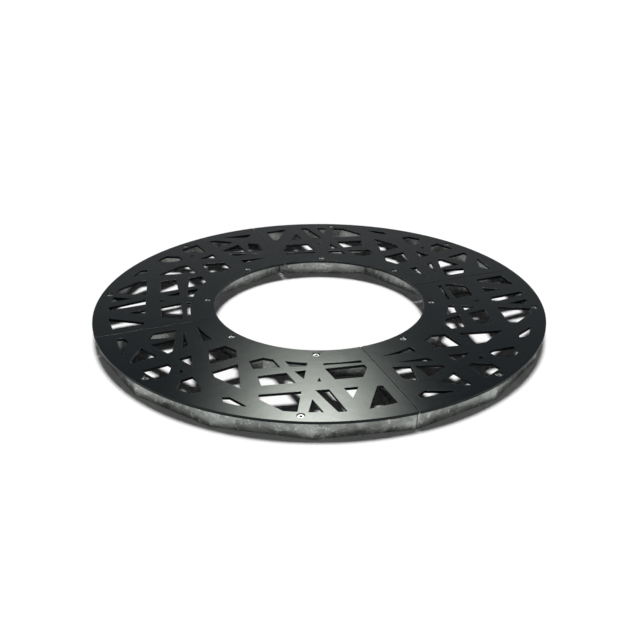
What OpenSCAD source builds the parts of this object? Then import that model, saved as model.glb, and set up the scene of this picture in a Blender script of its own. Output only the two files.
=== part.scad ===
// Round tree grate: four laser-cut cover plates screwed down on four welded frames,
// which are bolted together at the seams and stand on the ground round the tree.
// Millimetres, Z up. The origin is the centre of the tree opening, on the ground.
// The seams between the four segments lie on the X and Y axes.

/* [Cover plates] */
// Outside diameter of the whole grate
grate_d = 1700; // [1500:10:2000]
// Diameter of the round opening for the tree
tree_d = 800; // [600:10:900]
// Thickness of the cover plates
plate_t = 10; // [9:0.5:16]
// Gap between neighbouring cover plates
plate_gap = 3; // [1:0.5:8]

/* [Openwork] */
// Solid rim between the tree opening and the openwork
inner_rim = 91; // [75:1:120]
// Solid rim between the openwork and the outside edge
outer_rim = 53; // [50:1:80]
// Solid strip between the openwork and each seam
seam_rim = 40; // [25:1:60]

/* [Frame] */
// Height of the frame under the cover plates
frame_h = 64; // [50:1:120]
// Thickness of the bent flat bars of the outer and inner band
bar_t = 5; // [3:0.5:8]
// Thickness of the end plates at the seams
end_t = 6; // [4:0.5:10]
// Flat facets of the outer band in each segment
outer_facets = 4; // [4:1:6]
// Flat facets of the inner band in each segment
inner_facets = 2; // [2:1:3]
// How far the cover plates stand out past the corners of the outer band
outer_overhang = 14; // [8:1:30]
// How far the cover plates stand out past the flats of the inner band
inner_overhang = 38; // [32:1:44]
// How far the ends of the bands stay back from the seams
band_setback = 1.5; // [0.5:0.5:4]
// Radius on the inside of the bends in both bands
bend_r = 6; // [3:1:15]

/* [Cover screws] */
// Thread diameter of the cover screws
screw_d = 12; // [8:1:14]
// Diameter of the countersunk heads
screw_head_d = 24; // [20:1:26]
// How deep the heads lie under the top of the plate
screw_recess = 3; // [1:0.5:3.5]
// Width of the ring round each head in its recess
recess_ring = 1; // [0.5:0.5:3]
// Width across flats of the hexagon socket
socket_af = 8; // [5:1:10]
// Depth of the hexagon socket
socket_h = 4; // [2:0.5:5]
// Angle from the nearest seam to an outer screw
outer_screw_angle = 25; // [24:0.5:28]
// Angle from the nearest seam to an inner screw
inner_screw_angle = 22.5; // [18:0.5:27]
// Length of screw that shows under its lug
screw_tip = 1; // [0.5:0.5:6]

/* [Screw lugs] */
// Thickness of the tapped lugs that are welded to the bands
lug_t = 8; // [6:1:12]
// Width of the lugs
lug_w = 28; // [24:1:36]
// Distance from the face of the band to the screw
lug_reach = 8; // [8:0.5:12]

/* [Seam bolts] */
// Thread diameter of the seam bolts
bolt_d = 12; // [8:1:14]
// Width across flats of the bolt heads and nuts
bolt_af = 18; // [16:1:22]
// Height of the bolt heads
bolt_head_h = 7.5; // [5:0.5:10]
// Height of the bolt nuts
bolt_nut_h = 11; // [8:1:14]
// Diameter of the washers
washer_d = 24; // [22:1:30]
// Thickness of the washers
washer_t = 2.5; // [1.5:0.5:4]
// Distance from the corner of each band to its bolt
bolt_inset = 42; // [30:1:80]
// Length of bolt that shows past its nut
bolt_tip = 7; // [3:1:15]

/* [Clearances] */
// Play of a screw or bolt in its drilled hole, across the diameter
hole_play = 1; // [0.5:0.5:2]
// Play of a thread in its nut or lug, across the diameter
thread_play = 0.2; // [0.1:0.1:0.5]

/* [Hidden] */
$fn = 48;
RING_FN = 180;
BEND_STEPS = 4;
SEGMENTS = 4;
SEGMENT_A = 360 / SEGMENTS;
EPS = 0.5;

// Place of each segment, as the turn from the +X axis
BACK_RIGHT = 0;
BACK_LEFT = 90;
FRONT_LEFT = 180;
FRONT_RIGHT = 270;

grate_r = grate_d / 2;
tree_r = tree_d / 2;
plate_top = frame_h + plate_t;

// Radii between which the openwork lies
openwork_r0 = tree_r + inner_rim;
openwork_r1 = grate_r - outer_rim;

// Distances from the axis to the flat faces of the bands
outer_face = (grate_r - outer_overhang) * cos(SEGMENT_A / outer_facets / 2);
outer_seat = outer_face - bar_t;
inner_face = tree_r + inner_overhang;
inner_back = inner_face + bar_t;

// Radii of the seam bolts, measured from the corners of the bands
inner_bolt_r = corner_r(inner_back, inner_facets) + bolt_inset;
outer_bolt_r = corner_r(outer_seat, outer_facets) - bolt_inset;
bolt_z = frame_h / 2;

screw_hole_d = screw_d + hole_play;
screw_top = plate_top - screw_recess;
screw_l = plate_t - screw_recess + lug_t + screw_tip;
bolt_hole_d = bolt_d + 2 * hole_play;
bolt_grip = end_t + washer_t;
bolt_reach = bolt_grip + bolt_nut_h + bolt_tip;
outer_screws = [outer_screw_angle, SEGMENT_A - outer_screw_angle];
inner_screws = [inner_screw_angle, SEGMENT_A - inner_screw_angle];

PLATE_COLOR = "#2b3034";
ZINC_COLOR = "#8f9692";
STEEL_COLOR = "#c9ccce";

// The openwork looks like straight bars laid across each other. Each opening between
// the bars is a short outline of corners, written as the angle from the segment's
// first seam and the share of the way from the openwork's inner to its outer circle.
// A corner past the openwork's edge is cut off there, which leaves a true arc or a
// line beside the seam.
OPENINGS = [
    // Along the inner circle, round from the first seam
    [[4.5, 0], [19, -0.02], [18.2, 0.11]],
    [[27.4, -0.02], [32.7, -0.02], [36.9, 0.12], [32.6, 0.405], [25.5, 0.205]],
    [[42.6, 0.135], [46.9, -0.02], [49.7, -0.02], [55, 0.145], [46.4, 0.265]],
    [[54.8, -0.02], [64.3, -0.02], [64.1, 0.075], [58.3, 0.11]],
    [[70.5, -0.03], [86, -0.03], [86, 0.055], [70.6, 0.045]],
    // In the inner half of the band
    [[7.5, 0.2], [17.3, 0.29], [18.2, 0.39]],
    [[3, 0.245], [9.6, 0.34], [6.7, 0.62], [2.5, 0.5]],
    [[10.9, 0.35], [17.8, 0.51], [18.1, 0.575], [10.4, 0.64]],
    [[24.1, 0.41], [29.6, 0.56], [23.1, 0.555]],
    [[40.3, 0.25], [48.1, 0.69], [38.7, 0.6], [36.3, 0.53]],
    [[49.7, 0.395], [57.9, 0.245], [61.9, 0.44], [52.7, 0.565]],
    [[60.5, 0.205], [64.2, 0.165], [64.1, 0.345]],
    [[68.9, 0.32], [69.5, 0.395], [68.4, 0.395]],
    [[71, 0.125], [86, 0.105], [86, 0.165], [82.7, 0.355], [73.9, 0.36]],
    [[75.8, 0.545], [79.8, 0.545], [77.3, 0.755]],
    // Along the outer circle
    [[2.5, 0.89], [5.4, 0.84], [12, 1.01], [2.5, 0.945]],
    [[10.8, 0.765], [17.6, 0.705], [17, 1.02], [15.2, 0.975]],
    [[28.3, 0.7], [29.8, 0.7], [29.4, 0.755]],
    [[23.2, 0.71], [25.1, 0.71], [28.3, 0.875], [27.7, 1.02], [21.6, 1.02]],
    [[32.3, 0.85], [33.4, 0.725], [35.4, 0.745], [39.9, 0.905], [38, 1.02], [34.7, 1.02]],
    [[45.7, 0.915], [47.3, 0.885], [52.5, 0.99], [52, 1.02], [47.3, 1.02]],
    [[53.5, 0.745], [64.1, 0.605], [64.1, 1.02], [61.7, 1.02], [54.4, 0.835]],
    [[67.2, 0.76], [70.1, 1.02], [66.5, 1.02]],
    [[67.9, 0.575], [71.6, 0.56], [75, 0.985], [75, 1.02], [73.3, 1.02]],
    [[85.2, 0.565], [87.5, 0.59], [87.5, 0.945], [80.1, 0.985]]
];

function polar(r, a) = [r * cos(a), r * sin(a)];

// Point of the openwork from its angle and its share of the way out
function openwork_point(c) = polar(openwork_r0 + c[1] * (openwork_r1 - openwork_r0), c[0]);

// Corner radius of a band face that lies at a distance from the axis
function corner_r(face, facets) = face / cos(SEGMENT_A / facets / 2);

// Where a band face meets a line at a distance beside the seam
function face_x(face, facets, y) =
    (face - y * sin(SEGMENT_A / facets / 2)) / cos(SEGMENT_A / facets / 2);

// One side of a bent band, from end to end, with an arc of radius r at each bend
function band_side(face, facets, r) =
    let (
        step = SEGMENT_A / facets,
        centre = corner_r(face - r, facets),
        end_x = face_x(face, facets, band_setback)
    )
    concat(
        [[end_x, band_setback]],
        [for (i = [1 : facets - 1]) for (k = [0 : BEND_STEPS])
            polar(centre, i * step) + polar(r, (i - 0.5 + k / BEND_STEPS) * step)],
        [[band_setback, end_x]]
    );

function reversed(points) = [for (i = [len(points) - 1 : -1 : 0]) points[i]];

// Direction that the facet under an angle faces
function facet_a(facets, a) = (floor(a * facets / SEGMENT_A) + 0.5) * SEGMENT_A / facets;

// Quarter of a flat ring, held back from both of its seams
module quarter_ring(r0, r1, seam) {
    intersection() {
        difference() {
            circle(r = r1, $fn = RING_FN);
            circle(r = r0, $fn = RING_FN);
        }
        translate([seam, seam]) square(r1);
    }
}

// Openings of one segment, cut off at the edges of the openwork
module openwork() {
    intersection() {
        quarter_ring(openwork_r0, openwork_r1, seam_rim);
        for (outline = OPENINGS)
            polygon([for (c = outline) openwork_point(c)]);
    }
}

// Puts its children on a screw axis, with +X towards the band that carries the lug
module on_screw(seat, facets, a) {
    turn = facet_a(facets, a);
    reach = seat - lug_reach;
    rotate(turn) translate([reach, reach * tan(a - turn)]) children();
}

module on_outer_screws() {
    for (a = outer_screws) on_screw(outer_seat, outer_facets, a) children();
}

module on_inner_screws() {
    for (a = inner_screws) on_screw(inner_face, inner_facets, a) children();
}

module in_each_segment() {
    for (k = [0 : SEGMENTS - 1]) rotate(k * SEGMENT_A) children();
}

// Puts its children on every bolt axis, with +Z out of the seam towards the bolt head
module on_bolts() {
    in_each_segment()
        for (r = [inner_bolt_r, outer_bolt_r])
            translate([r, 0, bolt_z]) rotate([-90, 0, 0]) children();
}

// Recess, countersink and drilled hole for one cover screw
module screw_cut() {
    cone_h = (screw_head_d - screw_hole_d) / 2;
    translate([0, 0, screw_top])
        cylinder(d = screw_head_d + 2 * recess_ring, h = screw_recess + EPS);
    translate([0, 0, screw_top - cone_h])
        cylinder(d1 = screw_hole_d, d2 = screw_head_d, h = cone_h);
    translate([0, 0, frame_h - EPS])
        cylinder(d = screw_hole_d, h = plate_t - screw_recess + EPS);
}

// Hexagon of a nut or bolt head, with its corners turned off at one or both ends
module hexagon(af, h, both_ends = true) {
    corner = af / cos(30) / 2;
    face = 0.47 * af;
    slope = (corner - face) * tan(30);
    intersection() {
        cylinder(r = corner, h = h, $fn = 6);
        rotate_extrude()
            polygon([
                [0, 0], [both_ends ? face : corner, 0], [corner, both_ends ? slope : 0],
                [corner, h - slope], [face, h], [0, h]
            ]);
    }
}

module nut(af, h, thread_d) {
    difference() {
        hexagon(af, h);
        translate([0, 0, -EPS]) cylinder(d = thread_d + thread_play, h = h + 2 * EPS);
    }
}

// Shank with a chamfered tip, from z = 0 down
module shank(d, l) {
    chamfer = d / 10;
    rotate_extrude()
        polygon([[0, 0], [d / 2, 0], [d / 2, chamfer - l], [d / 2 - chamfer, -l], [0, -l]]);
}

module cover_plate(turn) {
    color(PLATE_COLOR) rotate(turn) difference() {
        translate([0, 0, frame_h]) linear_extrude(plate_t)
            quarter_ring(tree_r, grate_r, plate_gap / 2);
        translate([0, 0, frame_h - EPS]) linear_extrude(plate_t + 2 * EPS) openwork();
        on_outer_screws() screw_cut();
        on_inner_screws() screw_cut();
    }
}

// Bent flat bar of one segment, whose nearer flats lie at a distance from the axis
module band(face, facets, turn) {
    near = band_side(face, facets, bend_r);
    far = band_side(face + bar_t, facets, bend_r + bar_t);
    color(ZINC_COLOR) rotate(turn) linear_extrude(frame_h)
        polygon(concat(near, reversed(far)));
}

module outer_band(turn) {
    band(outer_seat, outer_facets, turn);
}

module inner_band(turn) {
    band(inner_face, inner_facets, turn);
}

// End plate along the first seam of a segment, mitred to the faces of both bands
module first_end_plate() {
    difference() {
        linear_extrude(frame_h)
            polygon([
                [face_x(inner_back, inner_facets, 0), 0],
                [face_x(outer_seat, outer_facets, 0), 0],
                [face_x(outer_seat, outer_facets, end_t), end_t],
                [face_x(inner_back, inner_facets, end_t), end_t]
            ]);
        for (r = [inner_bolt_r, outer_bolt_r])
            translate([r, -EPS, bolt_z]) rotate([-90, 0, 0])
                cylinder(d = bolt_hole_d, h = end_t + 2 * EPS);
    }
}

module end_plate_first(turn) {
    color(ZINC_COLOR) rotate(turn) first_end_plate();
}

module end_plate_last(turn) {
    color(ZINC_COLOR) rotate(turn) mirror([1, -1, 0]) first_end_plate();
}

// Round-ended tapped lug, flush with the top of the frame and cut off at the band's face
module screw_lug() {
    translate([0, 0, frame_h - lug_t]) linear_extrude(lug_t) difference() {
        intersection() {
            union() {
                circle(d = lug_w);
                translate([0, -lug_w / 2]) square(lug_w);
            }
            translate([-lug_w, -lug_w / 2]) square([lug_w + lug_reach, lug_w]);
        }
        circle(d = screw_d + thread_play);
    }
}

module cover_screw() {
    cone_h = (screw_head_d - screw_d) / 2;
    chamfer = screw_d / 10;
    translate([0, 0, screw_top]) difference() {
        rotate_extrude()
            polygon([
                [0, 0], [screw_head_d / 2, 0], [screw_d / 2, -cone_h],
                [screw_d / 2, chamfer - screw_l], [screw_d / 2 - chamfer, -screw_l],
                [0, -screw_l]
            ]);
        translate([0, 0, -socket_h])
            cylinder(d = socket_af / cos(30), h = socket_h + EPS, $fn = 6);
    }
}

module seam_bolt() {
    translate([0, 0, bolt_grip]) hexagon(bolt_af, bolt_head_h, both_ends = false);
    translate([0, 0, bolt_grip]) shank(bolt_d, bolt_grip + bolt_reach);
}

module seam_nut() {
    translate([0, 0, -bolt_grip - bolt_nut_h]) nut(bolt_af, bolt_nut_h, bolt_d);
}

// The washer under the head and the one under the nut
module washer_pair() {
    for (z = [end_t, -bolt_grip])
        translate([0, 0, z]) difference() {
            cylinder(d = washer_d, h = washer_t);
            translate([0, 0, -EPS]) cylinder(d = bolt_d + hole_play, h = washer_t + 2 * EPS);
        }
}

module outer_screw_lugs() {
    color(ZINC_COLOR) in_each_segment() on_outer_screws() screw_lug();
}

module inner_screw_lugs() {
    color(ZINC_COLOR) in_each_segment() on_inner_screws() screw_lug();
}

module outer_cover_screws() {
    color(STEEL_COLOR) in_each_segment() on_outer_screws() cover_screw();
}

module inner_cover_screws() {
    color(STEEL_COLOR) in_each_segment() on_inner_screws() cover_screw();
}

module seam_bolts() {
    color(STEEL_COLOR) on_bolts() seam_bolt();
}

module seam_nuts() {
    color(STEEL_COLOR) on_bolts() seam_nut();
}

module seam_washers() {
    color(STEEL_COLOR) on_bolts() washer_pair();
}

cover_plate(FRONT_LEFT);  // cover_plate_front_left
cover_plate(FRONT_RIGHT);  // cover_plate_front_right
cover_plate(BACK_RIGHT);  // cover_plate_back_right
cover_plate(BACK_LEFT);  // cover_plate_back_left
outer_band(FRONT_LEFT);  // outer_band_front_left
outer_band(FRONT_RIGHT);  // outer_band_front_right
outer_band(BACK_RIGHT);  // outer_band_back_right
outer_band(BACK_LEFT);  // outer_band_back_left
inner_band(FRONT_LEFT);  // inner_band_front_left
inner_band(FRONT_RIGHT);  // inner_band_front_right
inner_band(BACK_RIGHT);  // inner_band_back_right
inner_band(BACK_LEFT);  // inner_band_back_left
end_plate_first(FRONT_LEFT);  // end_plate_front_left_first
end_plate_last(FRONT_LEFT);  // end_plate_front_left_last
end_plate_first(FRONT_RIGHT);  // end_plate_front_right_first
end_plate_last(FRONT_RIGHT);  // end_plate_front_right_last
end_plate_first(BACK_RIGHT);  // end_plate_back_right_first
end_plate_last(BACK_RIGHT);  // end_plate_back_right_last
end_plate_first(BACK_LEFT);  // end_plate_back_left_first
end_plate_last(BACK_LEFT);  // end_plate_back_left_last
outer_screw_lugs();
inner_screw_lugs();
outer_cover_screws();
inner_cover_screws();
seam_bolts();
seam_nuts();
seam_washers();
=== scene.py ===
"""Looks of a round, walk-on tree grate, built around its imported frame.

Lengths are in metres and angles in degrees, with the origin at the centre of the tree
opening, on the ground. Each sub-assembly is a class that makes and dresses its own
pieces, and each finish is a frozen dataclass that writes one kind of material.
"""

import logging
import math
from dataclasses import dataclass, replace
from enum import Enum
from random import Random
from typing import Any, Callable, Iterable, Mapping, Sequence

import bmesh
import bpy
from mathutils import Matrix, Vector


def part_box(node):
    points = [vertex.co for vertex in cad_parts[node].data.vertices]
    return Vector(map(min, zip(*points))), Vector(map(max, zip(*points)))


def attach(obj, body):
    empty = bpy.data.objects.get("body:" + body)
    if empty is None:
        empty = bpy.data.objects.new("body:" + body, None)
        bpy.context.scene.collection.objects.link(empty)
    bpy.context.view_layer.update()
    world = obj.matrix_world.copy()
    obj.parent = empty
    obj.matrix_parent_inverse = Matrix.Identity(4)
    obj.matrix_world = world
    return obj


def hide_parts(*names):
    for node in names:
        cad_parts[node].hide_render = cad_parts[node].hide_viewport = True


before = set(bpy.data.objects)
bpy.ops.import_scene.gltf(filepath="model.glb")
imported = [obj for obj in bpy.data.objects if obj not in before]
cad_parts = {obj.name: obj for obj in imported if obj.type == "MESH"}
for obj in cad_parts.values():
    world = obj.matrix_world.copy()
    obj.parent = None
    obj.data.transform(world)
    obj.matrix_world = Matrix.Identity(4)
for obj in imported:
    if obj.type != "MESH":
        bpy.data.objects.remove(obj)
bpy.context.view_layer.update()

MM = 0.001
BODY = "root"
WELD_DISTANCE = 0.002 * MM
log = logging.getLogger("tree_grate")

Colour = tuple[float, float, float]
Triple = tuple[float, float, float]
Range = tuple[float, float]
Socket = bpy.types.NodeSocket
Object = bpy.types.Object
Material = bpy.types.Material
Solid = bmesh.types.BMesh
Ports = dict[str, Socket]
Given = tuple[float, ...]
Radius = Callable[[float], float]
Station = tuple[float, Radius]
Ends = tuple[Vector, Vector]

RISING: Range = (0.0, 1.0)
FALLING: Range = (1.0, 0.0)
WHITE: Colour = (1.0, 1.0, 1.0)


class Labelled(Enum):
    """Members that other names are made from."""

    @property
    def label(self) -> str:
        """The member's name in small letters, as the frame's nodes write it."""
        return self.name.lower()


class Segment(Labelled):
    """The four quarters of the grate, each with its turn from the +X axis."""

    BACK_RIGHT = 0
    BACK_LEFT = 90
    FRONT_LEFT = 180
    FRONT_RIGHT = 270


class Lugs(Labelled):
    """Nodes of the screw lugs, each with the flats of its band in one quarter."""

    OUTER_SCREW_LUGS = 4
    INNER_SCREW_LUGS = 2


class PlateFinish(Labelled):
    """Finishes of a cover plate, each with its place among the plate's materials."""

    COAT = 0
    CUT_WALLS = 1
    SEAM_WALLS_Y_PAINTED_LIGHT = 2
    SEAM_WALLS_X_PAINTED_LIGHT = 3


class Slot(Enum):
    """The record's material slots."""

    COVER_PLATE = "cover_plate"
    GALVANISED_FRAME = "galvanised_frame"
    STAINLESS_SCREW = "stainless_screw"
    ZINC_FASTENER = "zinc_fastener"


class NodeGraph:
    """Short calls that add and join the nodes of one shader tree."""

    def __init__(self, tree: bpy.types.NodeTree) -> None:
        """Keep the tree that the nodes go into."""
        self.tree = tree

    def add(
        self, kind: str, inputs: Mapping[Any, Any] | None = None, **settings: Any
    ) -> bpy.types.Node:
        """Add one node.

        Args:
            kind: Type name of the node.
            inputs: Plain values or sockets for its inputs, by name or number.
            **settings: The node's own properties.

        Returns:
            The new node.
        """
        node = self.tree.nodes.new(kind)
        for name, value in settings.items():
            setattr(node, name, value)
        for key, value in (inputs or {}).items():
            socket = node.inputs[key]
            if isinstance(value, Socket):
                self.tree.links.new(value, socket)
            elif isinstance(value, tuple) and len(socket.default_value) == 4:
                socket.default_value = (*value, 1.0)
            else:
                socket.default_value = value
        return node

    def math(self, operation: str, a: Any, b: Any = 0.0, clamp: bool = False) -> Socket:
        """Work out one number from two.

        Args:
            operation: The Math node's operation.
            a: First number.
            b: Second number.
            clamp: Whether the result is held between 0 and 1.

        Returns:
            The result.
        """
        node = self.add("ShaderNodeMath", {0: a, 1: b}, operation=operation, use_clamp=clamp)
        return node.outputs[0]

    def vector(self, operation: str, a: Any, b: Any) -> Socket:
        """Work out one vector from two, by the Vector Math node's operation."""
        node = self.add("ShaderNodeVectorMath", {0: a, 1: b}, operation=operation)
        return node.outputs[0]

    def span(self, value: Any, source: Sequence[float], target: Sequence[float]) -> Socket:
        """Carry a number from one range to another, held inside the target.

        Args:
            value: The number.
            source: Lowest and highest value that come in.
            target: Values that they become.

        Returns:
            The number in the target range.
        """
        inputs = {0: value, 1: source[0], 2: source[1], 3: target[0], 4: target[1]}
        return self.add("ShaderNodeMapRange", inputs).outputs[0]

    def blend(self, share: Any, low: Any, high: Any) -> Socket:
        """Mix two colours.

        Args:
            share: How much of the second colour shows, from 0 to 1.
            low: First colour.
            high: Second colour.

        Returns:
            The mixed colour.
        """
        node = self.add("ShaderNodeMix", {0: share, 6: low, 7: high}, data_type="RGBA")
        return node.outputs[2]

    def sum(self, values: Sequence[Any], weights: Sequence[float]) -> Socket:
        """Add up numbers, each times its own weight.

        Args:
            values: The numbers.
            weights: Their weights.

        Returns:
            The weighted sum.
        """
        total: Any = 0.0
        for value, weight in zip(values, weights):
            total = self.math("ADD", self.math("MULTIPLY", value, weight), total)
        return total

    def place(self) -> Socket:
        """Point of the surface in the object's own frame, in metres."""
        return self.add("ShaderNodeTexCoord").outputs["Object"]

    def own(self, name: str) -> Socket:
        """Number that the mesh keeps at each point, such as its distance from an axis."""
        return self.add("ShaderNodeAttribute", attribute_name=name).outputs["Fac"]

    def scaled(self, vector: Any, factor: Any) -> Socket:
        """Stretch a vector by one number."""
        node = self.add("ShaderNodeVectorMath", {0: vector, 3: factor}, operation="SCALE")
        return node.outputs[0]

    def noise(
        self, place: Any, scale: Any, detail: float, roughness: float = 0.5
    ) -> bpy.types.Node:
        """Add a noise texture that is read at a place, with its scale in patches per metre."""
        inputs = {"Vector": place, "Scale": scale, "Detail": detail, "Roughness": roughness}
        return self.add("ShaderNodeTexNoise", inputs)

    def bump(self, height: Any, distance: float = 1.0, **more: Any) -> Socket:
        """Turn a height into a normal, with the Bump node's other inputs by name."""
        inputs = {"Height": height, "Distance": distance, **more}
        return self.add("ShaderNodeBump", inputs).outputs[0]

    def shade(
        self,
        inputs: Mapping[str, Any],
        shader: str = "ShaderNodeBsdfPrincipled",
        output: str = "ShaderNodeOutputMaterial",
    ) -> None:
        """Add the tree's shader and output, by their type names, and join them."""
        made = self.add(shader, inputs)
        self.add(output, {0: made.outputs[0]})


@dataclass(frozen=True)
class Effect:
    """A surface effect that several materials share, kept as one node group."""

    name: str
    inputs: tuple[str, ...]
    outputs: tuple[str, ...]
    draw: Callable[[NodeGraph, Ports], Ports]

    def group(self) -> bpy.types.NodeTree:
        """Return the effect's node group, which the first call builds.

        Returns:
            The node group.
        """
        tree = bpy.data.node_groups.get(self.name)
        if tree:
            return tree
        tree = bpy.data.node_groups.new(self.name, "ShaderNodeTree")
        for names, way in ((self.inputs, "INPUT"), (self.outputs, "OUTPUT")):
            for name in names:
                tree.interface.new_socket(name, in_out=way, socket_type="NodeSocketFloat")
        graph = NodeGraph(tree)
        source = graph.add("NodeGroupInput")
        given = {socket.name: socket for socket in source.outputs if socket.name}
        made = self.draw(graph, given)
        graph.add("NodeGroupOutput", made)
        return tree

    def on(self, graph: NodeGraph, *given: float) -> Sequence[Socket]:
        """Place the effect in a tree, with its inputs in order, and return its outputs."""
        node = graph.add("ShaderNodeGroup", dict(enumerate(given)), node_tree=self.group())
        return node.outputs


HALF = (0.5, 0.5, 0.5)
WANDERS_PER_CRYSTAL = 2.3
STREAKS_PER_CRYSTAL = 2.0
STREAK_AXIS = (0.4, 0.5, 0.77)
STREAK_SQUEEZE = (1.0, 7.0, 1.0)
LUMP_SQUEEZE = (1.0, 1.0, 0.75)
STRIATION_SQUEEZE = (1.0, 1.0, 0.06)
SOCKET_SHADE_FADE = 0.4 * MM


def draw_clouds(graph: NodeGraph, given: Ports) -> Ports:
    """Soft patches, such as the thick and thin places of a coat.

    Args:
        graph: The group's nodes.
        given: "Scale" is patches per metre, "Contrast" sharpens their edges.

    Returns:
        "Mask", from 0 to 1.
    """
    noise = graph.noise(graph.place(), given["Scale"], detail=4.0, roughness=0.55)
    centred = graph.math("SUBTRACT", noise.outputs[0], 0.5)
    stretched = graph.math("MULTIPLY", centred, given["Contrast"])
    return {"Mask": graph.math("ADD", stretched, 0.5, clamp=True)}


def draw_grain(graph: NodeGraph, given: Ports) -> Ports:
    """Fine even texture, as a "Height" from 0 to 1, with "Scale" grains per metre."""
    return {"Height": graph.noise(graph.place(), given["Scale"], detail=2.0).outputs[0]}


def draw_spangle(graph: NodeGraph, given: Ports) -> Ports:
    """Crystals of a zinc coat, each with its own tone and its own direction of streaks.

    Args:
        graph: The group's nodes.
        given: "Scale" is crystals per metre, "Ragged" how far their edges wander.

    Returns:
        "Tone" and "Streaks", from 0 to 1, and "Edge", 1 along the borders.
    """
    place, scale = graph.place(), given["Scale"]
    wander = graph.noise(place, graph.math("MULTIPLY", scale, WANDERS_PER_CRYSTAL), detail=3.0)
    offset = graph.vector("SUBTRACT", wander.outputs[1], HALF)
    warped = graph.vector("ADD", place, graph.scaled(offset, given["Ragged"]))
    cell = {"Vector": warped, "Scale": scale}
    cells = graph.add("ShaderNodeTexVoronoi", cell)
    border = graph.add("ShaderNodeTexVoronoi", cell, feature="DISTANCE_TO_EDGE")
    tone = graph.add("ShaderNodeSeparateColor", {0: cells.outputs["Color"]})
    turn = graph.math("MULTIPLY", tone.outputs[1], math.pi)
    turned = graph.add(
        "ShaderNodeVectorRotate",
        {"Vector": place, "Axis": STREAK_AXIS, "Angle": turn},
        rotation_type="AXIS_ANGLE",
    )
    long = graph.vector("MULTIPLY", turned.outputs[0], STREAK_SQUEEZE)
    streaks = graph.noise(long, graph.math("MULTIPLY", scale, STREAKS_PER_CRYSTAL), detail=2.0)
    edge = graph.span(border.outputs[0], source=(0.0, 0.12), target=FALLING)
    return {"Tone": tone.outputs[0], "Streaks": streaks.outputs[0], "Edge": edge}


def draw_low_darkening(graph: NodeGraph, given: Ports) -> Ports:
    """Darkening that is strongest by the ground and fades upward, broken into blots.

    Args:
        graph: The group's nodes.
        given: "Height" is how far it reaches up, "Scale" its blots per metre.

    Returns:
        "Mask", from 0 to 1.
    """
    place = graph.place()
    level = graph.add("ShaderNodeSeparateXYZ", {0: place}).outputs[2]
    high = graph.math("DIVIDE", level, given["Height"], clamp=True)
    low = graph.math("SUBTRACT", 1.0, high)
    noise = graph.noise(place, given["Scale"], detail=5.0, roughness=0.65)
    blots = graph.span(noise.outputs[0], source=(0.4, 0.7), target=(0.15, 1.0))
    return {"Mask": graph.math("MULTIPLY", low, blots)}


def draw_edge_wear(graph: NodeGraph, given: Ports) -> Ports:
    """Thin coat along the eased edges, rubbed through here and there.

    Args:
        graph: The group's nodes.
        given: "Scale" is rubbed places per metre.

    Returns:
        "Mask", from 0 to 1.
    """
    noise = graph.noise(graph.place(), given["Scale"], detail=4.0, roughness=0.6)
    rubbed = graph.span(noise.outputs[0], source=(0.42, 0.68), target=(0.12, 1.0))
    return {"Mask": graph.math("MULTIPLY", graph.own("eased_edge"), rubbed)}


def draw_turning_marks(graph: NodeGraph, given: Ports) -> Ports:
    """Fine rings that a lathe leaves round a piece's own axis.

    Args:
        graph: The group's nodes.
        given: "Pitch" is the distance from ring to ring in metres.

    Returns:
        "Height", from 0 to 1.
    """
    count = graph.math("DIVIDE", graph.own("own_radius"), given["Pitch"])
    wave = graph.math("SINE", graph.math("MULTIPLY", count, 2.0 * math.pi))
    return {"Height": graph.span(wave, source=(-1.0, 1.0), target=RISING)}


def draw_socket_shade(graph: NodeGraph, given: Ports) -> Ports:
    """Painted shade in a screw's socket, as a "Mask" that is 1 inside the socket's "Radius"."""
    inside = graph.math("SUBTRACT", given["Radius"], graph.own("own_radius"))
    return {"Mask": graph.math("DIVIDE", inside, SOCKET_SHADE_FADE, clamp=True)}


def draw_zinc_lumps(graph: NodeGraph, given: Ports) -> Ports:
    """Small lumps and runs that a hot-dip coat leaves, a little longer upright.

    Args:
        graph: The group's nodes.
        given: "Scale" is lumps per metre, "Size" the largest radius in lump spacings.

    Returns:
        "Mask", 1 on a lump.
    """
    place = graph.vector("MULTIPLY", graph.place(), LUMP_SQUEEZE)
    cells = graph.add("ShaderNodeTexVoronoi", {"Vector": place, "Scale": given["Scale"]})
    chance = graph.add("ShaderNodeSeparateColor", {0: cells.outputs["Color"]}).outputs[2]
    share = graph.span(chance, source=(0.3, 1.0), target=(0.1, 1.0))
    radius = graph.math("MULTIPLY", given["Size"], share)
    away = graph.math("DIVIDE", cells.outputs["Distance"], radius)
    return {"Mask": graph.span(away, source=(0.45, 1.0), target=FALLING)}


def draw_striations(graph: NodeGraph, given: Ports) -> Ports:
    """Upright lines of a laser, as a "Height" from 0 to 1, with "Scale" lines per metre."""
    drawn = graph.vector("MULTIPLY", graph.place(), STRIATION_SQUEEZE)
    return {"Height": graph.noise(drawn, given["Scale"], detail=2.0, roughness=0.6).outputs[0]}


CLOUDS = Effect("Clouds", ("Scale", "Contrast"), ("Mask",), draw_clouds)
GRAIN = Effect("Grain", ("Scale",), ("Height",), draw_grain)
SPANGLE = Effect("Spangle", ("Scale", "Ragged"), ("Tone", "Streaks", "Edge"), draw_spangle)
LOW_DARKENING = Effect("Settled dirt", ("Height", "Scale"), ("Mask",), draw_low_darkening)
EDGE_WEAR = Effect("Edge wear", ("Scale",), ("Mask",), draw_edge_wear)
SOCKET_SHADE = Effect("Socket painted shade", ("Radius",), ("Mask",), draw_socket_shade)
ZINC_LUMPS = Effect("Zinc lumps", ("Scale", "Size"), ("Mask",), draw_zinc_lumps)
STRIATIONS = Effect("Striations", ("Scale",), ("Height",), draw_striations)
TURNING_MARKS = Effect("Turning marks", ("Pitch",), ("Height",), draw_turning_marks)


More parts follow.
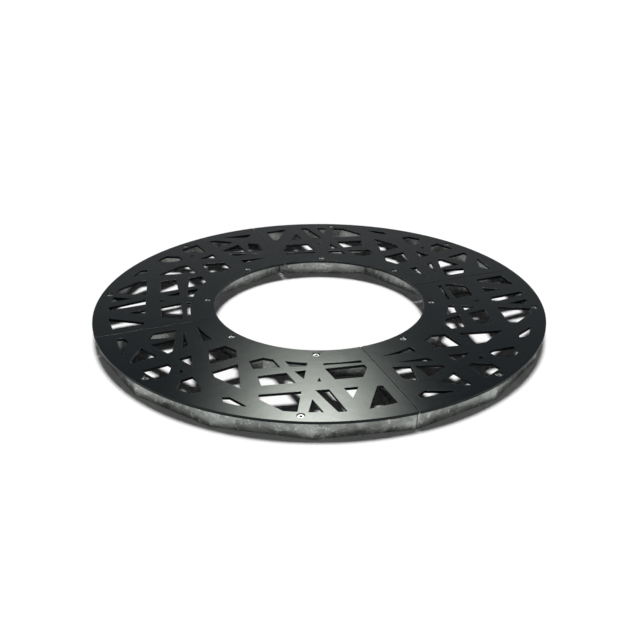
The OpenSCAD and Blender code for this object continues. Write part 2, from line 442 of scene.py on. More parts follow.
def empty_graph(owner: Material | bpy.types.World) -> NodeGraph:
    """Give a material or a world an empty shader tree.

    Args:
        owner: The material or the world.

    Returns:
        The graph of its tree.
    """
    owner.use_nodes = True
    owner.node_tree.nodes.clear()
    return NodeGraph(owner.node_tree)


class Finish:
    """What every finish can do: write a material with a Principled shader.

    A finish keeps the inputs of an effect as one tuple, in the effect's own order.
    """

    def draw(self, graph: NodeGraph) -> None:
        """Draw the finish, which each kind of finish does in its own way."""
        raise NotImplementedError

    def material(self, name: str) -> Material:
        """Write a material with this finish.

        Args:
            name: The material's name.

        Returns:
            The material.
        """
        material = bpy.data.materials.new(name)
        self.draw(empty_graph(material))
        return material


@dataclass(frozen=True)
class PowderCoat(Finish):
    """Satin blue-black powder coat of the cover plates.

    The blots are of dust. Roughening is what they and the rubbed edges add to its roughness.
    """

    thick: Colour = (0.0004, 0.0036, 0.0054)
    thin: Colour = (0.0012, 0.0046, 0.0062)
    rubbed: Colour = (0.028, 0.032, 0.033)
    dust: Colour = (0.045, 0.044, 0.040)
    dust_share: float = 0.02
    gloss: Range = (0.070, 0.095)
    roughening: Given = (0.02, 0.12)
    clouds: Given = (9.0, 2.2)
    blots: Given = (70.0, 5.0)
    rubs_per_m: float = 38.0
    waves: Given = (3.2, 1.0)
    wave_height: float = 0.55 * MM
    peel_per_m: float = 420.0
    peel_height: float = 0.003 * MM
    lean: Triple = (0.0, 0.0, 0.0)

    def draw(self, graph: NodeGraph) -> None:
        """Draw the coat, its normals turned by the plate's lean.

        Args:
            graph: The material's nodes.
        """
        clouds = CLOUDS.on(graph, *self.clouds)[0]
        blots = CLOUDS.on(graph, *self.blots)[0]
        waves = CLOUDS.on(graph, *self.waves)[0]
        wear = EDGE_WEAR.on(graph, self.rubs_per_m)[0]
        peel = GRAIN.on(graph, self.peel_per_m)[0]
        tone = graph.blend(clouds, self.thick, self.thin)
        tone = graph.blend(graph.math("MULTIPLY", blots, self.dust_share), tone, self.dust)
        rough = graph.span(clouds, RISING, self.gloss)
        height = graph.sum((waves, peel), (self.wave_height, self.peel_height))
        normal = graph.add("ShaderNodeNewGeometry").outputs["Normal"]
        leaning = graph.vector("ADD", normal, self.lean)
        leaning = graph.vector("NORMALIZE", leaning, (0.0, 0.0, 0.0))
        graph.shade({
            "Base Color": graph.blend(wear, tone, self.rubbed),
            "Roughness": graph.sum((rough, blots, wear), (1.0, *self.roughening)),
            "Normal": graph.bump(height, Normal=leaning),
        })


@dataclass(frozen=True)
class CutWall(Finish):
    """Thin matt powder coat on the laser-cut walls of the cover plates.

    The shares are those of clouds and lines in its tone.
    """

    thick: Colour = (0.0006, 0.0030, 0.0042)
    thin: Colour = (0.0050, 0.0070, 0.0080)
    gloss: Range = (0.38, 0.50)
    specular: float = 0.2
    clouds: Given = (60.0, 2.5)
    shares: Given = (0.6, 0.4)
    lines_per_m: float = 900.0
    line_height: float = 0.06 * MM

    def draw(self, graph: NodeGraph) -> None:
        """Draw the coat of the cut walls.

        Args:
            graph: The material's nodes.
        """
        clouds = CLOUDS.on(graph, *self.clouds)[0]
        lines = STRIATIONS.on(graph, self.lines_per_m)[0]
        share = graph.sum((clouds, lines), self.shares)
        graph.shade({
            "Base Color": graph.blend(share, self.thick, self.thin),
            "Roughness": graph.span(share, RISING, self.gloss),
            "Specular IOR Level": self.specular,
            "Normal": graph.bump(lines, self.line_height),
        })


@dataclass(frozen=True)
class Galvanising(Finish):
    """Hot-dip zinc coat, weathered to a blotched grey.

    The shares are those of crystals, their streaks and clouds in its tone. The bloom and
    glint colour is pale zinc on the tops of the lumps, and painted highlight on the flecks
    and specks. It is darker and duller towards the ground. Dulling takes from the metallic
    value and roughening adds to the roughness, each for that darkening and for the bloom
    and glint. The heights are those of the layers, in the order in which draw lists them.
    """

    dark: Colour = (0.120, 0.127, 0.120)
    light: Colour = (0.480, 0.507, 0.480)
    bloom_and_glint: Colour = (0.820, 0.845, 0.812)
    low_dark: Colour = (0.050, 0.050, 0.046)
    gloss: Range = (0.27, 0.38)
    metallic: float = 0.88
    dulling: Given = (-0.3, -0.4)
    roughening: Given = (0.2, 0.15)
    shares: Given = (0.45, 0.2, 0.35)
    clouds: Given = (14.0, 2.6)
    crystals: Given = (42.0, 7.0 * MM)
    lumps: Given = (62.0, 3.0)
    lump_tops: Range = (0.72, 1.0)
    lump_bloom: Range = (0.0, 0.55)
    flecks: Given = (42.0, 0.22)
    fleck_glint: float = 0.85
    specks: Given = (125.0, 0.30)
    speck_glint: float = 0.6
    grain_per_m: float = 900.0
    settled: Given = (22.0 * MM, 45.0)
    low_dark_share: float = 0.3
    heights: Given = tuple(MM * height for height in (0.6, 0.04, 0.12, -0.05, 0.9, 0.27, 0.02))

    def draw(self, graph: NodeGraph) -> None:
        """Draw the coat.

        Args:
            graph: The material's nodes.
        """
        crystals, streaks, borders = SPANGLE.on(graph, *self.crystals)
        clouds = CLOUDS.on(graph, *self.clouds)[0]
        lumps = CLOUDS.on(graph, *self.lumps)[0]
        flecks = ZINC_LUMPS.on(graph, *self.flecks)[0]
        specks = ZINC_LUMPS.on(graph, *self.specks)[0]
        # Darker and duller towards the ground, in blots.
        low_dark = LOW_DARKENING.on(graph, *self.settled)[0]
        grain = GRAIN.on(graph, self.grain_per_m)[0]
        share = graph.sum((crystals, streaks, clouds), self.shares)
        tops = graph.span(lumps, self.lump_tops, self.lump_bloom)
        # Painted highlight: the flecks and specks are coloured near white, as glints on the zinc
        # lumps, which also stand up as bumps.
        bloom_and_glint = graph.sum((flecks, specks), (self.fleck_glint, self.speck_glint))
        bloom_and_glint = graph.math("MAXIMUM", tops, bloom_and_glint, clamp=True)
        tone = graph.blend(bloom_and_glint, graph.blend(share, self.dark, self.light), self.bloom_and_glint)
        tone = graph.blend(graph.math("MULTIPLY", low_dark, self.low_dark_share), tone, self.low_dark)
        rough = graph.span(crystals, RISING, self.gloss)
        layers = (lumps, crystals, streaks, borders, flecks, specks, grain)
        graph.shade({
            "Base Color": tone,
            "Metallic": graph.sum((1.0, low_dark, bloom_and_glint), (self.metallic, *self.dulling)),
            "Roughness": graph.sum((rough, low_dark, bloom_and_glint), (1.0, *self.roughening)),
            "Normal": graph.bump(graph.sum(layers, self.heights)),
        })


@dataclass(frozen=True)
class TurnedMetal(Finish):
    """Bare or plated metal of a turned or forged fastener."""

    clean: Colour
    dull: Colour
    gloss: Range
    clouds: Given = (120.0, 2.5)
    rubs_per_m: float = 300.0
    # Painted shade: a dark, dull colour inside the socket, where its walls shade it.
    grime: Colour = (0.030, 0.029, 0.027)
    grime_metallic: float = 0.2
    socket_shade_roughness: float = 0.5
    socket_radius: float = 0.0
    mark_pitch: float = 0.45 * MM
    mark_height: float = 0.004 * MM
    grain_per_m: float = 2500.0
    grain_height: float = 0.003 * MM

    def draw(self, graph: NodeGraph) -> None:
        """Draw the metal.

        Args:
            graph: The material's nodes.
        """
        clouds = CLOUDS.on(graph, *self.clouds)[0]
        wear = EDGE_WEAR.on(graph, self.rubs_per_m)[0]
        # Painted shade inside the screw's socket.
        grime = SOCKET_SHADE.on(graph, self.socket_radius)[0]
        marks = TURNING_MARKS.on(graph, self.mark_pitch)[0]
        grain = GRAIN.on(graph, self.grain_per_m)[0]
        tone = graph.blend(wear, graph.blend(clouds, self.clean, self.dull), self.clean)
        rough = graph.span(clouds, RISING, self.gloss)
        height = graph.sum((marks, grain), (self.mark_height, self.grain_height))
        graph.shade({
            "Base Color": graph.blend(grime, tone, self.grime),
            "Metallic": graph.span(grime, RISING, (1.0, self.grime_metallic)),
            "Roughness": graph.sum((rough, grime), (1.0, self.socket_shade_roughness)),
            "Normal": graph.bump(height),
        })


@dataclass(frozen=True)
class WeldMetal(Finish):
    """Weld beads under the zinc, duller and rougher than the bars.

    The shares are those of clouds and crystals in its tone.
    """

    dark: Colour = (0.120, 0.122, 0.118)
    light: Colour = (0.270, 0.275, 0.262)
    metallic: Range = (0.35, 0.7)
    gloss: Range = (0.45, 0.65)
    clouds: Given = (160.0, 3.0)
    crystals: Given = (210.0, 2.0 * MM)
    shares: Given = (0.6, 0.4)
    grain_per_m: float = 1100.0
    grain_height: float = 0.05 * MM

    def draw(self, graph: NodeGraph) -> None:
        """Draw the beads' skin.

        Args:
            graph: The material's nodes.
        """
        clouds = CLOUDS.on(graph, *self.clouds)[0]
        crystals = SPANGLE.on(graph, *self.crystals)[0]
        share = graph.sum((clouds, crystals), self.shares)
        grain = GRAIN.on(graph, self.grain_per_m)[0]
        graph.shade({
            "Base Color": graph.blend(share, self.dark, self.light),
            "Metallic": graph.span(clouds, RISING, self.metallic),
            "Roughness": graph.span(share, RISING, self.gloss),
            "Normal": graph.bump(grain, self.grain_height),
        })


PLATE_WALLS = {
    PlateFinish.CUT_WALLS: CutWall(),
    # Painted light: the walls of the seams that run along Y are the plates' coat painted much
    # lighter, to lift the shade in the narrow seam gap.
    PlateFinish.SEAM_WALLS_Y_PAINTED_LIGHT: CutWall(
        thick=(0.175, 0.187, 0.189), thin=(0.295, 0.310, 0.312), gloss=(0.45, 0.60)
    ),
    # Painted light: the walls of the seams that run along X are the plates' coat painted lighter,
    # to lift the shade in the narrow seam gap.
    PlateFinish.SEAM_WALLS_X_PAINTED_LIGHT: CutWall(
        thick=(0.042, 0.047, 0.049), thin=(0.092, 0.098, 0.100), gloss=(0.45, 0.60)
    ),
}
# Painted light: a lighter, more glinting copy of the zinc for the inner bands, which sit in shade
# under the plates' inner edge.
INNER_BAND_LIT_ZINC = Galvanising(
    dark=(0.168, 0.176, 0.168),
    light=(0.665, 0.690, 0.665),
    bloom_and_glint=(0.950, 0.970, 0.940),
    gloss=(0.38, 0.50),
    flecks=(42.0, 0.34),
    specks=(125.0, 0.42),
)
STAINLESS = TurnedMetal(
    clean=(0.66, 0.67, 0.66),
    dull=(0.50, 0.51, 0.50),
    gloss=(0.16, 0.25),
    socket_radius=4.9 * MM,
)
ZINC_PLATE = TurnedMetal(
    clean=(0.55, 0.57, 0.57), dull=(0.40, 0.41, 0.40), gloss=(0.26, 0.40)
)


def direction(azimuth: float, elevation: float = 0.0) -> Vector:
    """Unit vector by its two angles.

    Args:
        azimuth: Angle round the Z axis, from +X.
        elevation: Angle above the ground.

    Returns:
        The unit vector.
    """
    turn, rise = math.radians(azimuth), math.radians(elevation)
    level = math.cos(rise)
    return Vector((level * math.cos(turn), level * math.sin(turn), math.sin(rise)))


def standing(foot: Vector, axis: Vector) -> Matrix:
    """Place of a solid whose own Z axis starts at a foot and follows an axis."""
    return Matrix.Translation(foot) @ axis.to_track_quat("Z", "Y").to_matrix().to_4x4()


def solids_of(node: str) -> list[Ends]:
    """Find the separate solids of a frame node.

    Args:
        node: The node's name.

    Returns:
        Lowest and highest corner of each solid.
    """
    mesh = bmesh.new()
    mesh.from_mesh(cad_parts[node].data)
    bmesh.ops.remove_doubles(mesh, verts=mesh.verts, dist=WELD_DISTANCE)
    left = set(mesh.verts)
    boxes = []
    while left:
        heap = [left.pop()]
        solid = []
        while heap:
            vertex = heap.pop()
            solid.append(vertex.co.copy())
            near = {edge.other_vert(vertex) for edge in vertex.link_edges} & left
            left -= near
            heap.extend(near)
        low = Vector(min(point[i] for point in solid) for i in range(3))
        high = Vector(max(point[i] for point in solid) for i in range(3))
        boxes.append((low, high))
    mesh.free()
    return sorted(boxes, key=lambda box: tuple(box[0]))


def show(piece: Object, nodes: Sequence[str] = ()) -> None:
    """Let a new piece ride with the grate and stand for frame nodes.

    Args:
        piece: The piece.
        nodes: Frame nodes that it stands for.
    """
    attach(piece, BODY)
    if nodes:
        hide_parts(*nodes)
    log.info("%s: %d faces", piece.name, len(piece.data.polygons))


def add_object(name: str, data: bpy.types.ID) -> Object:
    """Put a new object in the scene.

    Args:
        name: The object's name.
        data: Its mesh, light or camera.

    Returns:
        The new object.
    """
    made = bpy.data.objects.new(name, data)
    bpy.context.scene.collection.objects.link(made)
    return made


def piece_from(name: str, mesh: Solid, material: Material) -> Object:
    """Turn a mesh under construction into an object of the scene.

    Args:
        name: The piece's name.
        mesh: The mesh, which is freed.
        material: Its finish.

    Returns:
        The new object.
    """
    data = bpy.data.meshes.new(name)
    mesh.to_mesh(data)
    mesh.free()
    data.materials.append(material)
    data.shade_smooth()
    return add_object(name, data)


@dataclass(frozen=True)
class EasedEdge:
    """Small round that deburring and the coat leave along every sharp edge."""

    width: float = 0.8 * MM
    steps: int = 2
    profile: float = 0.5
    sharp_angle: float = 35.0
    flat_angle: float = 0.2

    def copy(self, node: str, name: str, material: Material) -> Object:
        """Copy a frame node with its edges eased.

        Args:
            node: The frame node.
            name: Name of the copy.
            material: Its finish.

        Returns:
            The copy, with the wear mask on its edges.
        """
        mesh = bmesh.new()
        mesh.from_mesh(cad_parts[node].data)
        bmesh.ops.remove_doubles(mesh, verts=mesh.verts, dist=WELD_DISTANCE)
        bmesh.ops.dissolve_limit(
            mesh, angle_limit=math.radians(self.flat_angle), verts=mesh.verts, edges=mesh.edges
        )
        limit = math.radians(self.sharp_angle)
        layer = mesh.verts.layers.float.new("eased_edge")
        sharp = [e for e in mesh.edges if e.is_manifold and e.calc_face_angle() > limit]
        made = bmesh.ops.bevel(
            mesh, geom=sharp, offset=self.width, offset_type="OFFSET", segments=self.steps,
            profile=self.profile, affect="EDGES",
        )
        eased = set(made["faces"])
        for vertex in made["verts"]:
            vertex[layer] = float(all(face in eased for face in vertex.link_faces))
        piece = piece_from(name, mesh, material)
        even = piece.modifiers.new("Even shading", "WEIGHTED_NORMAL")
        even.keep_sharp = True
        return piece


def round_solid(mesh: Solid, stations: Sequence[Station], steps: int, place: Matrix) -> None:
    """Add a closed solid round the local Z axis.

    Args:
        mesh: The mesh that takes it.
        stations: Height and radius round the axis, from one end to the other.
        steps: Points round the axis.
        place: Where the solid's own frame lies.
    """
    layers = mesh.verts.layers.float
    own_radius = layers.get("own_radius") or layers.new("own_radius")
    rings = []
    for height, radius in stations:
        ring = []
        for i in range(steps):
            angle = 2.0 * math.pi * i / steps
            r = radius(math.degrees(angle))
            point = Vector((r * math.cos(angle), r * math.sin(angle), height))
            vertex = mesh.verts.new(place @ point)
            vertex[own_radius] = r
            ring.append(vertex)
        rings.append(ring)
    sides = [(i, (i + 1) % steps) for i in range(steps)]
    for near, far in zip(rings, rings[1:]):
        for i, j in sides:
            mesh.faces.new((near[i], near[j], far[j], far[i]))
    for ring, height, turned in (
        (rings[0], stations[0][0], True),
        (rings[-1], stations[-1][0], False),
    ):
        tip = mesh.verts.new(place @ Vector((0.0, 0.0, height)))
        for i, j in sides:
            mesh.faces.new((ring[j], ring[i], tip) if turned else (ring[i], ring[j], tip))


def circle(radius: float) -> Radius:
    """Round section of one radius."""
    return lambda angle: radius


def corner_of(across: float) -> float:
    """Distance from a hexagon's middle to its corners, by its size across the flats."""
    return across / 2 / math.cos(math.radians(30.0))


def hexagon(across: float, most: float = math.inf) -> Radius:
    """Section of a hexagon that a cone may cut off.

    Args:
        across: Size across the flats.
        most: Largest radius that is left.

    Returns:
        Radius by the angle in degrees, with a corner at 0.
    """
    return lambda angle: min(most, across / 2 / math.cos(math.radians(angle % 60.0 - 30.0)))


@dataclass
class CoverPlates:
    """The four laser-cut cover plates, with their coat and eased edges.

    None lies quite level: a lean is its angle and its azimuth, counted from the quarter's
    first seam, or from +X for the front right plate.
    """

    coat: PowderCoat = PowderCoat()
    edge: EasedEdge = EasedEdge()
    wall_slope: float = 0.5
    seam_gap: float = 3.0 * MM
    lean: Range = (0.12, 30.0)
    right_lean: Range = (0.10, -20.0)

    def lean_of(self, segment: Segment) -> Triple:
        """Work out how far one plate leans.

        Args:
            segment: The plate's quarter.

        Returns:
            What its normals gain.
        """
        angle, azimuth = self.lean[0], segment.value + self.lean[1]
        if segment is Segment.FRONT_RIGHT:
            angle, azimuth = self.right_lean
        size, turn = math.sin(math.radians(angle)), math.radians(azimuth)
        return (size * math.cos(turn), size * math.sin(turn), 0.0)

    def finish_of(self, face: bpy.types.MeshPolygon) -> PlateFinish:
        """Choose the finish of one face of a plate.

        Args:
            face: The face.

        Returns:
            The coat for a level face, or a wall's finish by where it lies.
        """
        if abs(face.normal.z) >= self.wall_slope:
            return PlateFinish.COAT
        if abs(face.center.x) < self.seam_gap:
            return PlateFinish.SEAM_WALLS_Y_PAINTED_LIGHT
        if abs(face.center.y) < self.seam_gap:
            return PlateFinish.SEAM_WALLS_X_PAINTED_LIGHT
        return PlateFinish.CUT_WALLS

    def build(self) -> None:
        """Make and dress the plates, with the cut walls in their own materials."""
        walls = [wall.material(f"powder_coat_{kind.label}") for kind, wall in PLATE_WALLS.items()]
        for segment in Segment:
            node = f"cover_plate_{segment.label}"
            coat = replace(self.coat, lean=self.lean_of(segment))
            material = coat.material(f"powder_coat_{segment.label}")
            plate = self.edge.copy(node, f"{node}_coated", material)
            for wall in walls:
                plate.data.materials.append(wall)
            for face in plate.data.polygons:
                face.material_index = self.finish_of(face).value
            show(plate, [node])


@dataclass
class FrameSegments:
    """The galvanised bands, end plates and screw lugs."""

    zinc: Galvanising = Galvanising()
    lit_inner_zinc: Galvanising = INNER_BAND_LIT_ZINC
    edge: EasedEdge = EasedEdge(width=0.7 * MM)

    def build(self) -> None:
        """Make and dress the bars and the lugs."""
        zinc = self.zinc.material("galvanised_steel")
        # Painted light: the inner bands take the lighter copy of the zinc.
        inner = self.lit_inner_zinc.material("galvanised_inner_bands")
        finishes = {}
        for segment in Segment:
            finishes[f"outer_band_{segment.label}"] = zinc
            finishes[f"inner_band_{segment.label}"] = inner
            finishes[f"end_plate_{segment.label}_first"] = zinc
            finishes[f"end_plate_{segment.label}_last"] = zinc
        for lugs in Lugs:
            finishes[lugs.label] = zinc
        for node, finish in finishes.items():
            piece = self.edge.copy(node, f"{node}_galvanised", finish)
            show(piece, [node])


@dataclass
class WeldBeads:
    """Fillet beads that join the end plates and the lugs to the bands."""

    metal: WeldMetal = WeldMetal()
    radius: float = 3.6 * MM
    unevenness: Range = (0.96, 1.04)
    ripple: float = 1.7 * MM
    ripple_depth: float = 0.14
    per_ripple: int = 3
    least_fill: float = 0.02
    end_gap: float = 4.0 * MM
    inset: float = 1.2 * MM
    lug_radius: float = 2.8 * MM
    lug_reach: float = 8.0 * MM
    lug_width: float = 28.0 * MM
    steps: int = 14
    seed: int = 11

    def bead(self, mesh: Solid, ends: Ends, radius: float, chance: Random) -> None:
        """Add one bead along a straight corner.

        Args:
            mesh: The mesh that takes it.
            ends: The two ends of the corner.
            radius: The bead's radius.
            chance: Source of the small unevenness.
        """
        start, end = ends
        length = (end - start).length
        count = self.per_ripple * round(length / self.ripple)
        stations = []
        for i in range(count + 1):
            at = i / count
            near_end = min(at, 1.0 - at) * length / (2.0 * radius)
            fill = math.sin(math.pi / 2 * min(1.0, max(self.least_fill, near_end)))
            crest = 1.0 - self.ripple_depth * (i % self.per_ripple) / self.per_ripple
            size = radius * fill * crest * chance.uniform(*self.unevenness)
            stations.append((at * length, circle(size)))
        round_solid(mesh, stations, self.steps, standing(start, end - start))

    def lug_corners(self) -> Iterable[Ends]:
        """List the corners under the lugs, where they meet the bands.

        Yields:
            The two ends of each corner.
        """
        half = (self.lug_width - self.end_gap) / 2
        for lugs in Lugs:
            step = 90.0 / lugs.value
            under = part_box(lugs.label)[0].z
            for low, high in solids_of(lugs.label.replace("screw_lugs", "cover_screws")):
                axis = (low + high) / 2
                angle = math.degrees(math.atan2(axis.y, axis.x))
                outward = direction((math.floor(angle / step) + 0.5) * step)
                along = Vector((-outward.y, outward.x, 0.0)) * half
                middle = Vector((axis.x, axis.y, under)) + outward * self.lug_reach
                yield middle - along, middle + along

    def corners(self) -> Iterable[Ends]:
        """List the upright corners of the end plates and the bands.

        Yields:
            The two ends of each corner.
        """
        low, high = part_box(f"end_plate_{Segment.BACK_RIGHT.label}_first")
        mirror = Matrix(((0, 1, 0), (1, 0, 0), (0, 0, 1)))
        for segment in Segment:
            turn = Matrix.Rotation(math.radians(segment.value), 3, "Z")
            for x in (low.x + self.inset, high.x - self.inset):
                foot = Vector((x, high.y, low.z + self.end_gap))
                head = Vector((x, high.y, high.z - self.end_gap))
                yield turn @ foot, turn @ head
                yield turn @ (mirror @ foot), turn @ (mirror @ head)

    def build(self) -> None:
        """Make the beads of the whole frame as one piece."""
        material = self.metal.material("weld_metal")
        chance = Random(self.seed)
        mesh = bmesh.new()
        for ends in self.corners():
            self.bead(mesh, ends, self.radius, chance)
        for ends in self.lug_corners():
            self.bead(mesh, ends, self.lug_radius, chance)
        show(piece_from("frame_weld_beads", mesh, material))


@dataclass
class CoverScrews:
    """Countersunk socket screws, each on the axis of its own solid in the frame."""

    socket: float = 8.0 * MM
    socket_depth: float = 4.0 * MM
    socket_chamfer: float = 0.4 * MM
    drill_share: float = 0.8
    drill_depth: float = 1.2 * MM
    drill_tip: float = 0.2 * MM
    face_rings: int = 4
    rim: float = 0.9 * MM
    rim_share: float = 0.3
    neck_share: float = 0.2
    shank: float = 12.0 * MM
    tip_chamfer: float = 1.2 * MM
    steps: int = 48
    seed: int = 18

    def stations(self, head: float, length: float) -> list[Station]:
        """List the sections of one screw, from the socket's floor to the tip.

        Args:
            head: Diameter of the head.
            length: Length from the top of the head to the tip.

        Returns:
            The sections, with the top of the head at height 0.
        """
        floor = -self.socket_depth
        mouth = corner_of(self.socket) + self.socket_chamfer
        cone = (head - self.shank) / 2
        eased = self.rim_share * self.rim
        face = head / 2 - self.rim
        shank = circle(self.shank / 2)
        rings = [
            mouth + (face - mouth) * k / self.face_rings for k in range(self.face_rings + 1)
        ]
        return [
            (floor - self.drill_depth, circle(self.drill_tip)),
            (floor, hexagon(self.drill_share * self.socket)),
            (floor, hexagon(self.socket)),
            (-self.socket_chamfer, hexagon(self.socket)),
            *[(0.0, circle(r)) for r in rings],
            (-eased, circle(head / 2 - eased)),
            (-self.rim, circle(head / 2 - eased)),
            (-cone - self.neck_share * self.rim, shank),
            (self.tip_chamfer - length, shank),
            (-length, circle(self.shank / 2 - self.tip_chamfer)),
        ]

    def build(self) -> None:
        """Make and dress the screws of each ring."""
        material = STAINLESS.material("stainless_steel")
        for node in ("outer_cover_screws", "inner_cover_screws"):
            mesh = bmesh.new()
            chance = Random(self.seed)
            for low, high in solids_of(node):
                centre = (low + high) / 2
                spin = Matrix.Rotation(chance.uniform(0.0, math.pi), 4, "Z")
                place = Matrix.Translation((centre.x, centre.y, high.z)) @ spin
                round_solid(mesh, self.stations(high.x - low.x, high.z - low.z), self.steps, place)
            show(piece_from(f"{node}_turned", mesh, material), [node])


@dataclass
class SeamFasteners:
    """Bolts with rolled threads, and the nuts and washers of the frame."""

    across: float = 18.0 * MM
    thread: float = 12.0 * MM
    pitch: float = 1.75 * MM
    thread_depth: float = 1.0 * MM
    flank_share: float = 1.15
    threaded: float = 20.0 * MM
    runout: float = 0.8 * MM
    tip_chamfer: float = 1.2 * MM
    head_height: float = 7.5 * MM
    head_chamfer: float = 0.9 * MM
    face_share: float = 0.94
    face_rings: Range = (0.6, 0.2)
    collar: float = 0.3 * MM
    steps: int = 48
    per_pitch: int = 8

    def thread_radius(self, height: float, tip: float) -> Radius:
        """Work out the section of the thread at one height.

        Args:
            height: Where the section lies.
            tip: Height of the bolt's end.

        Returns:
            Radius by the angle.
        """
        crest = self.thread / 2
        cone = crest - self.tip_chamfer + (height - tip)

        def radius(angle: float) -> float:
            """Radius at one angle, from the helix and the chamfered tip."""
            flank = abs(2.0 * ((height / self.pitch - angle / 360.0) % 1.0) - 1.0)
            return min(cone, crest - self.thread_depth * min(1.0, self.flank_share * flank))

        return radius

    def stations(self, head_top: float, tip: float) -> list[Station]:
        """List the sections of one bolt, from the tip to the top of the head.

        Args:
            head_top: Height of the top of the head.
            tip: Height of the tip.

        Returns:
            The sections.
        """
        seat = head_top - self.head_height
        end = tip + self.threaded
        count = round(self.threaded / self.pitch) * self.per_pitch
        heights = [tip + (end - tip) * k / count for k in range(count + 1)]
        face = self.across / 2 * self.face_share
        corner = corner_of(self.across)
        shank = circle(self.thread / 2)
        return [
            *[(height, self.thread_radius(height, tip)) for height in heights],
            (end + self.runout, shank),
            (seat, shank),
            (seat, circle(face)),
            (seat + self.collar, circle(face)),
            (seat + self.collar, hexagon(self.across)),
            (head_top - self.head_chamfer, hexagon(self.across, corner)),
            (head_top - self.head_chamfer / 2, hexagon(self.across, (corner + face) / 2)),
            (head_top, hexagon(self.across, face)),
            *[(head_top, circle(share * face)) for share in self.face_rings],
        ]

    def build(self) -> None:
        """Make the bolts, and dress the nuts and washers."""
        material = ZINC_PLATE.material("zinc_plated_steel")
        mesh = bmesh.new()
        for low, high in solids_of("seam_bolts"):
            centre = (low + high) / 2
            along_y = high.y - low.y > high.x - low.x
            seam = Vector((centre.x, 0, 0)) if along_y else Vector((0, centre.y, 0))
            axis = Vector((0, 0, 1)).cross(seam.normalized())
            ends = sorted((low.dot(axis), high.dot(axis)))
            place = standing(seam + Vector((0, 0, centre.z)), axis)
            round_solid(mesh, self.stations(ends[1], ends[0]), self.steps, place)
        show(piece_from("seam_bolts_threaded", mesh, material), ["seam_bolts"])
        for node in ("seam_nuts", "seam_washers"):
            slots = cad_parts[node].data.materials
            slots.clear()
            slots.append(material)
            log.info("%s: dressed", node)


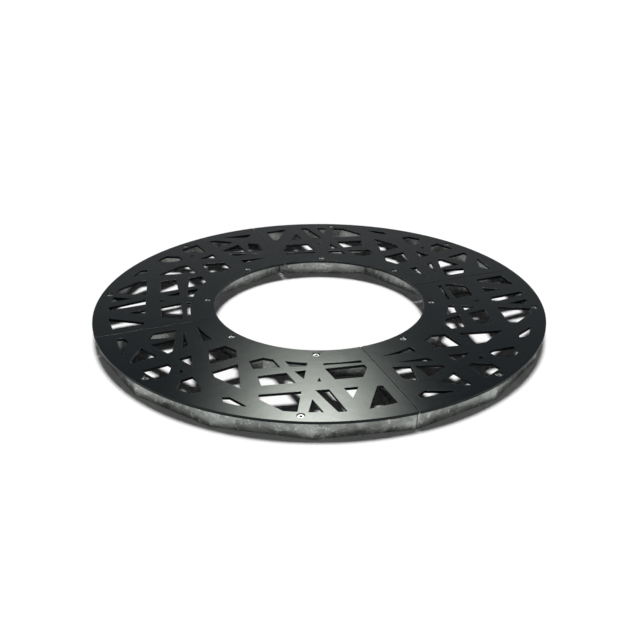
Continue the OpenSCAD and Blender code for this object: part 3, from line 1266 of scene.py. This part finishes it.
@dataclass
class Studio:
    """Pale floor, soft overhead light and the camera at the photograph's angle.

    The fill lights the grate and the sky shows in its gloss: each is a brightness
    overhead and what the low sky adds to it.
    """

    floor_size: float = 60.0
    floor_drop: float = 0.2 * MM
    floor_bounce: Colour = (0.400, 0.440, 0.415)
    sun_strength: float = 3.02
    sun_angle: float = 16.7
    sun_elevation: float = 84.2
    sun_distance: float = 3.5
    low_sky: Range = (0.25, 0.50)
    fill: Given = (0.012, 0.42)
    sky: Given = (0.13, 0.185)
    horizon: Range = (0.12, 0.26)
    glow: float = 17.0
    glow_tint: Colour = (0.94, 1.0, 0.91)
    glow_azimuth: float = 69.55
    glow_elevation: float = 37.0
    glow_across: float = 2.80
    glow_up: float = 3.95
    glow_foot: Range = (23.5, 28.0)
    glow_top: Range = (34.5, 38.0)
    lens: float = 50.0
    farthest: float = 100.0
    eye: Triple = (-1.1125, -2.8829, 1.5234)
    look_azimuth: float = 68.84
    look_down: float = 26.37

    def floor(self) -> None:
        """Lay a pale floor that shows white and keeps the shadow."""
        material = bpy.data.materials.new("studio_floor")
        graph = empty_graph(material)
        ray = graph.add("ShaderNodeLightPath").outputs
        seen = graph.math("MAXIMUM", ray["Is Camera Ray"], ray["Is Glossy Ray"])
        seen = graph.math("MAXIMUM", seen, ray["Is Transmission Ray"])
        tone = graph.blend(seen, self.floor_bounce, WHITE)
        graph.shade({"Color": tone}, shader="ShaderNodeBsdfDiffuse")
        half = self.floor_size / 2
        mesh = bpy.data.meshes.new("studio_floor")
        corners = [(-half, -half), (half, -half), (half, half), (-half, half)]
        mesh.from_pydata([(x, y, -self.floor_drop) for x, y in corners], [], [(0, 1, 2, 3)])
        mesh.materials.append(material)
        floor = add_object("studio_floor", mesh)

    def sun(self) -> None:
        """Hang the wide overhead light, a little behind the grate."""
        sun = bpy.data.lights.new("overhead_light", "SUN")
        sun.energy = self.sun_strength
        sun.angle = math.radians(self.sun_angle)
        overhead = add_object("overhead_light", sun)
        away = direction(self.look_azimuth, self.sun_elevation)
        overhead.location = away * self.sun_distance
        overhead.rotation_euler = away.to_track_quat("Z", "Y").to_euler()

    def panel_glow(self, graph: NodeGraph, way: Socket) -> Socket:
        """Soft bright panel behind the grate, which only its gloss shows.

        Args:
            graph: The world's nodes.
            way: Direction into the sky.

        Returns:
            Brightness from 0 to 1, strongest at the panel's middle.
        """
        middle = direction(self.glow_azimuth, self.glow_elevation)
        across = middle.cross(Vector((0.0, 0.0, 1.0))).normalized()
        squares = []
        for axis, width in ((across, self.glow_across), (across.cross(middle), self.glow_up)):
            inputs = {0: way, 1: tuple(axis)}
            offset = graph.add("ShaderNodeVectorMath", inputs, operation="DOT_PRODUCT")
            away = graph.math("DIVIDE", offset.outputs["Value"], math.sin(math.radians(width)))
            squares.append(graph.math("MULTIPLY", away, away))
        rise = graph.add("ShaderNodeSeparateXYZ", {0: way}).outputs[2]
        glow = graph.math("EXPONENT", graph.sum(squares, (-0.5, -0.5)))
        for angles, shares in ((self.glow_foot, RISING), (self.glow_top, FALLING)):
            edge = [math.sin(math.radians(angle)) for angle in angles]
            glow = graph.math("MULTIPLY", glow, graph.span(rise, edge, shares))
        return glow

    def sky_light(self) -> None:
        """Light the scene with a grey sky, white near the horizon where gloss shows it."""
        world = bpy.data.worlds.new("studio_sky")
        graph = empty_graph(world)
        way = graph.add("ShaderNodeTexCoord").outputs["Generated"]
        rise = graph.add("ShaderNodeSeparateXYZ", {0: way}).outputs[2]
        low = graph.span(rise, self.low_sky, FALLING)
        fill = graph.sum((1.0, low), self.fill)
        mirror = graph.sum((1.0, low), self.sky)
        mirror = graph.math("MAXIMUM", mirror, graph.span(rise, self.horizon, FALLING))
        glow = graph.math("MULTIPLY", self.panel_glow(graph, way), self.glow)
        mirror = graph.vector("ADD", graph.scaled(self.glow_tint, glow), mirror)
        ray = graph.add("ShaderNodeLightPath").outputs
        gloss = graph.math("MAXIMUM", ray["Is Glossy Ray"], ray["Is Transmission Ray"])
        tone = graph.blend(gloss, fill, mirror)
        tone = graph.blend(ray["Is Camera Ray"], tone, WHITE)
        inputs = {"Color": tone, "Strength": 1.0}
        graph.shade(inputs, shader="ShaderNodeBackground", output="ShaderNodeOutputWorld")
        bpy.context.scene.world = world

    def camera(self) -> None:
        """Stand the camera where the photograph was taken from."""
        data = bpy.data.cameras.new("photo_view")
        data.lens = self.lens
        data.clip_end = self.farthest
        camera = add_object("photo_view", data)
        camera.location = self.eye
        pitch = math.radians(90.0 - self.look_down)
        camera.rotation_euler = (pitch, 0.0, math.radians(self.look_azimuth - 90.0))
        bpy.context.scene.camera = camera

    def build(self) -> None:
        """Set up the whole studio."""
        bpy.context.scene.view_settings.view_transform = "Standard"
        self.camera()
        self.floor()
        self.sun()
        self.sky_light()


ASSEMBLIES = (Studio, CoverPlates, FrameSegments, WeldBeads, CoverScrews, SeamFasteners)


def main() -> None:
    """Dress the grate and set the studio round it."""
    logging.basicConfig(level=logging.INFO, format="%(name)s %(message)s")
    for assembly in ASSEMBLIES:
        log.info("building %s", assembly.__name__)
        assembly().build()


if __name__ == "__main__":
    main()
